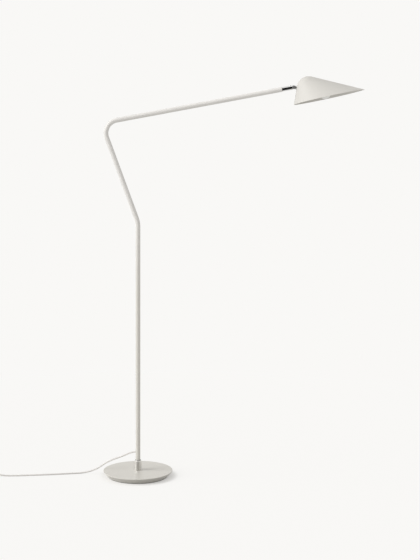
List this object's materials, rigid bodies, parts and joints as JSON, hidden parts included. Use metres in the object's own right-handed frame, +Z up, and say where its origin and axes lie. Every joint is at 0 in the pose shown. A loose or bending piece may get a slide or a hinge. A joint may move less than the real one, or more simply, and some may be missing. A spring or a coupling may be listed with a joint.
{
  "type": "floor lamp",
  "caption": "Floor lamp with a heavy round base, a rigid bent tube stem and arm, and a slant-cut cone shade that swivels and tilts; cord with inline switch and plug.",
  "frame": {"origin": "on the floor under the axis of the upright tube, at the middle of the base pad's underside", "axes": "+Z up along the upright tube, +X the way the arm points, +Y the third axis; the cord leaves towards -X"},
  "size_m": [1.4557, 0.24, 1.3779],
  "materials": {
    "painted_steel": "smooth matt warm off-white powder coat",
    "shade_paint": "smooth matt warm off-white powder coat, white inside",
    "satin_steel": "fine turned satin finish",
    "chrome": "polished chrome plate",
    "zinc_steel": "zinc plated steel",
    "brass": "plain brass",
    "aluminium": "pressed aluminium lamp cap",
    "pad_foam": "dense dark foam rubber",
    "cord_pvc": "matt light warm grey flexible plastic",
    "inner_cable": "white flexible plastic",
    "holder_plastic": "matt white plastic",
    "insulator": "unglazed white ceramic",
    "washer_fibre": "black nylon",
    "switch_plastic": "light warm grey plastic",
    "opal_glass": "frosted opal glass",
    "tie_plastic": "soft light plastic strip"
  },
  "bodies": {
    "stand": {"base_plate": "painted_steel", "base_pad": "pad_foam", "base_collar": "satin_steel", "collar_seal": "washer_fibre", "collar_grub_screw": "zinc_steel", "foot_spigot": "zinc_steel", "foot_washer": "zinc_steel", "foot_nut": "zinc_steel", "stem_tube": "painted_steel", "cord_bush": "cord_pvc", "stem_cable": "inner_cable", "arm_journal": "brass", "cord_run": "cord_pvc", "cord_link": "cord_pvc", "cord_coil": "cord_pvc", "coil_tie": "tie_plastic", "switch_bottom": "switch_plastic", "switch_top": "switch_plastic", "switch_terminals": "brass", "switch_screws": "zinc_steel", "switch_glands": "cord_pvc", "plug_relief": "cord_pvc", "plug_body": "cord_pvc", "plug_pins": "brass"},
    "swivel": {"swivel_sleeve": "chrome", "lock_screw": "chrome", "pivot_screw": "chrome", "pivot_nut": "chrome", "friction_washers": "washer_fibre"},
    "head": {"head_knuckle": "chrome", "shade": "shade_paint", "seat_washer": "aluminium", "nipple_nut": "zinc_steel", "holder_cap": "holder_plastic", "holder_body": "holder_plastic", "holder_insert": "insulator", "holder_shell": "brass", "holder_contact": "brass", "head_lead": "inner_cable", "bulb_globe": "opal_glass", "bulb_cap": "aluminium", "bulb_tip": "insulator"},
    "rocker": {"switch_rocker": "switch_plastic"}
  },
  "joints": [
    {"name": "head_swivel", "type": "hinge", "parent": "stand", "child": "swivel", "pos_m": [0.52401, 0, 1.34085], "axis": [0.9823, 0, 0.1874], "range_deg": [-165, 165]},
    {"name": "head_tilt", "type": "hinge", "parent": "swivel", "child": "head", "pos_m": [0.52401, 0, 1.34085], "axis": [0, 1, 0], "range_deg": [-50, 40]},
    {"name": "rocker_press", "type": "hinge", "parent": "stand", "child": "rocker", "pos_m": [-0.558, -0.025, 0.0148], "axis": [0, 1, 0], "range_deg": [0, 14]}
  ]
}
